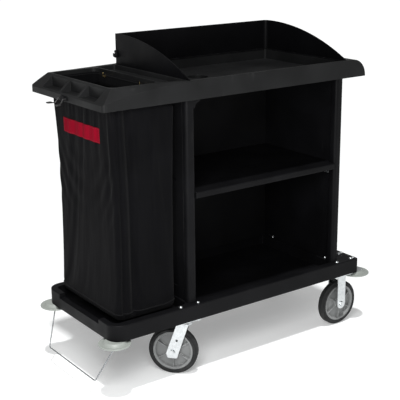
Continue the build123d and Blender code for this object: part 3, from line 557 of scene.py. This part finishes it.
SWAG_Z = (0.66, 0.98)            # stretch of the bag's end where the cloth sags below the label
SWAG_PITCH = 105 * MM
SWAG_DEPTH = 1.7 * MM
SWAG_MIDDLE = 10 * MM            # the lowest place of a sagging fold, and how much it bows
SWAG_BOW = 5.5


def swag(y, out, z):
    """Shallow sagging folds across the bag's end, hung between its two corners."""
    share = (z - SWAG_Z[0]) / (SWAG_Z[1] - SWAG_Z[0])
    if not 0 < share < 1 or out.x > -0.5:
        return 0.0
    sag = SWAG_BOW * (y - SWAG_MIDDLE) ** 2
    return SWAG_DEPTH * math.sin(math.pi * share) * math.sin(2 * math.pi * (z - sag) / SWAG_PITCH)


def press_folds(mesh, levels):
    """Press the creases beside the corners and the sagging folds into the hung cloth."""
    for step, (z, _, half_x, half_y) in enumerate(levels):
        for k in range(BAG_ROUND):
            flat, out = rounded_point(k / BAG_ROUND, half_x, half_y, CORNER)
            push = crease(flat.x + half_x, out, step / BAG_RISE) + swag(flat.y, out, z)
            vert = mesh.vertices[step * BAG_ROUND + k]
            vert.co += Vector((out.x, out.y, 0)) * push


RIPPLES = 12                     # gentle waves that the cloth starts from
RIPPLE_HEIGHT = 0.22             # of each, in millimetres
RIPPLE_TOP = 1.10                # the cloth above this has none
RIPPLE_CLEAR = 0.05              # nor has the middle of the floor


def ripple(mesh, middle):
    """Unsettle the cloth with a few random waves, so that it hangs unevenly."""
    rng = random.Random(7)
    waves = [(rng.uniform(3, 11), rng.uniform(0, 6.28), rng.uniform(4, 22), rng.uniform(0, 6.28))
             for _ in range(RIPPLES)]
    for vert in mesh.vertices:
        turn = math.atan2(vert.co.y, vert.co.x - middle)
        push = sum(math.sin(a * turn + c * vert.co.z + b) * math.sin(0.4 * c * vert.co.z + d)
                   for a, b, c, d in waves)
        out = Vector((vert.co.x - middle, vert.co.y, 0))
        if out.length > RIPPLE_CLEAR and vert.co.z < RIPPLE_TOP:
            vert.co += out.normalized() * push * RIPPLE_HEIGHT * MM


def make_bag():
    levels = bag_levels()
    mesh = bag_mesh()
    bag = place("laundry_bag", mesh)
    ripple(mesh, levels[0][1])
    hang_cloth(bag, levels)
    press_folds(mesh, levels)
    mesh.materials.append(woven("bag_nylon", (0.0018, 0.0018, 0.0023), 2.2 * MM, sheen=0.015,
                                specular=0.06))
    for face in mesh.polygons:
        face.use_smooth = True
    thick = bag.modifiers.new("thickness", "SOLIDIFY")
    thick.thickness = CLOTH_T
    thick.offset = -1
    finer = bag.modifiers.new("finer", "SUBSURF")
    finer.levels = finer.render_levels = 1
    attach(bag, "root")
    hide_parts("bag")
    return bag


# ------------------------------------------------------------------ label patch
PATCH_STEPS = (72, 18)
PATCH_T = 1.0 * MM
PATCH_GAP = 0.4 * MM             # between the cloth and the middle of the patch's back


def make_patch(bag):
    """A plain red patch that lies on the cloth as it hangs."""
    cloth = search_tree(bag.data)
    low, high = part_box("bag_label")
    bm = bmesh.new()
    uv = bm.loops.layers.uv.new("cloth")
    across, up = PATCH_STEPS
    grid = []
    for j in range(up + 1):
        row = []
        for i in range(across + 1):
            y = low.y + (high.y - low.y) * i / across
            z = low.z + (high.z - low.z) * j / up
            hit = cloth.ray_cast(Vector((low.x - CAST_FROM, y, z)), EAST)[0]
            row.append(bm.verts.new((hit.x - PATCH_GAP, y, z)))
        grid.append(row)
    for j in range(up):
        for i in range(across):
            face = bm.faces.new((grid[j][i + 1], grid[j][i], grid[j + 1][i], grid[j + 1][i + 1]))
            face.smooth = True
            for loop in face.loops:
                loop[uv].uv = (loop.vert.co.y, loop.vert.co.z)
    mesh = finished_mesh("label_patch", bm)
    mesh.materials.append(woven("label_cloth", (0.20, 0.002, 0.012), 1.4 * MM, sheen=0.0,
                                specular=0.04, shade=0.12))
    patch = place("label_patch", mesh)
    thick = patch.modifiers.new("thickness", "SOLIDIFY")
    thick.thickness = PATCH_T
    thick.offset = 1
    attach(patch, "root")
    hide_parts("bag_label")
    return patch


# ------------------------------------------------------------------ sewing
STITCH_PROFILE = ((-0.5, 0.35), (-0.3, 1.0), (0.3, 1.0), (0.5, 0.35))   # share along, thickness
STITCH_SIDES = 6
STITCH_LIFT = 0.3                # of its radius, off the cloth
TAPE_SIDES = 10
TAPE_TALL = 1.5                  # height of a binding over its thickness


def round_tube(across, up, k, sides):
    """Where the k-th side of a tube lies from its middle, by its two cross directions."""
    turn = 2 * math.pi * k / sides
    return across * math.cos(turn) + up * math.sin(turn)


def stitch_row(name, corners, colour, pitch, length, radius, cloth):
    """Thread stitches along a closed outline, each a short tapered tube that lies on the cloth."""
    bm = bmesh.new()
    for start, end in zip(corners, corners[1:] + corners[:1]):
        run = end - start
        way = run.normalized()
        count = max(1, round(run.length / pitch))
        for n in range(count):
            at = start + run * (n + 0.5) / count
            hit, normal, _, _ = cloth.ray_cast(at + WEST * CAST_FROM, EAST)
            if hit is None:
                continue
            along = (way - normal * way.dot(normal)).normalized()
            across = along.cross(normal)
            rings = []
            for share, size in STITCH_PROFILE:
                middle = hit + along * share * length + normal * STITCH_LIFT * radius
                rings.append([bm.verts.new(middle + size * radius
                                           * round_tube(across, normal, k, STITCH_SIDES))
                              for k in range(STITCH_SIDES)])
            for low, high in zip(rings, rings[1:]):
                for k in range(STITCH_SIDES):
                    ahead = (k + 1) % STITCH_SIDES
                    bm.faces.new((low[k], low[ahead], high[ahead], high[k])).smooth = True
            bm.faces.new(list(reversed(rings[0])))
            bm.faces.new(rings[-1])
    bmesh.ops.recalc_face_normals(bm, faces=bm.faces)
    mesh = finished_mesh(name, bm)
    mesh.materials.append(thread(f"{name}_thread", colour))
    row = place(name, mesh)
    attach(row, "root")
    return row


def bind_ring(name, mesh, row, radius, lift):
    """A rolled binding sewn round the bag at one of its levels."""
    bm = bmesh.new()
    cloth = bm.loops.layers.uv.new("cloth")
    sides = TAPE_SIDES
    spots = [mesh.vertices[row * BAG_ROUND + k].co.copy() for k in range(BAG_ROUND)]
    rings, along, reach = [], [], 0.0
    for k, spot in enumerate(spots):
        way = (spots[(k + 1) % BAG_ROUND] - spots[k - 1]).normalized()
        out = way.cross(Vector((0, 0, 1))).normalized()
        up = out.cross(way)
        rings.append([bm.verts.new(spot + out * lift
                                   + radius * round_tube(out, up * TAPE_TALL, n, sides))
                      for n in range(sides)])
        along.append(reach)
        reach += (spots[(k + 1) % BAG_ROUND] - spot).length
    girth = 2 * math.pi * radius
    for k in range(BAG_ROUND):
        ahead = (k + 1) % BAG_ROUND
        for n in range(sides):
            above = (n + 1) % sides
            here, there = rings[k], rings[ahead]
            face = bm.faces.new((here[n], there[n], there[above], here[above]))
            face.smooth = True
            for loop, (i, j) in zip(face.loops, ((k, n), (k + 1, n), (k + 1, n + 1), (k, n + 1))):
                u = along[i] if i < BAG_ROUND else reach
                loop[cloth].uv = (u, girth * j / sides)
    bmesh.ops.recalc_face_normals(bm, faces=bm.faces)
    ring_mesh = finished_mesh(name, bm)
    ring_mesh.materials.append(woven(f"{name}_tape", (0.0035, 0.0035, 0.004), 1.2 * MM, sheen=0.02,
                                     specular=0.10))
    ring = place(name, ring_mesh)
    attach(ring, "root")


def thread(name, colour):
    """Twisted polyester thread."""
    paint = Paint(name, colour, 0.6, specular=0.3)
    twist = paint.noise(900.0, 2.0)
    paler = tuple(min(1.0, c * 1.6 + 0.01) for c in colour)
    paint.plug("Base Color", paint.blend(paint.curve(twist, 0.35, 0.65), colour, paler))
    paint.plug("Normal", paint.bump(twist, 0.3, 0.1 * MM))
    return paint.material


STITCH_INSET = 4 * MM
STITCH_PITCH, STITCH_LENGTH, STITCH_R = 4.4 * MM, 3.2 * MM, 0.55 * MM


def sew_patch(patch):
    """Stitches round the patch, a little inside its edge."""
    low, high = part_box("bag_label")
    inset = STITCH_INSET
    corners = [Vector((low.x, y, z)) for y, z in (
        (low.y + inset, low.z + inset), (high.y - inset, low.z + inset),
        (high.y - inset, high.z - inset), (low.y + inset, high.z - inset))]
    row = stitch_row("label_stitches", corners, (0.12, 0.002, 0.008), STITCH_PITCH,
                     STITCH_LENGTH, STITCH_R, search_tree(patch.data))
    row.location.x = -PATCH_T


# ------------------------------------------------------------------ everything together
make_camera()
make_studio()
dress_frame()
bag = make_bag()
bind_ring("bag_floor_binding", bag.data, row=4, radius=1.8 * MM, lift=0.4 * MM)
bind_ring("bag_mouth_hem", bag.data, row=BAG_RISE - 1, radius=1.5 * MM, lift=-1.0 * MM)
sew_patch(make_patch(bag))
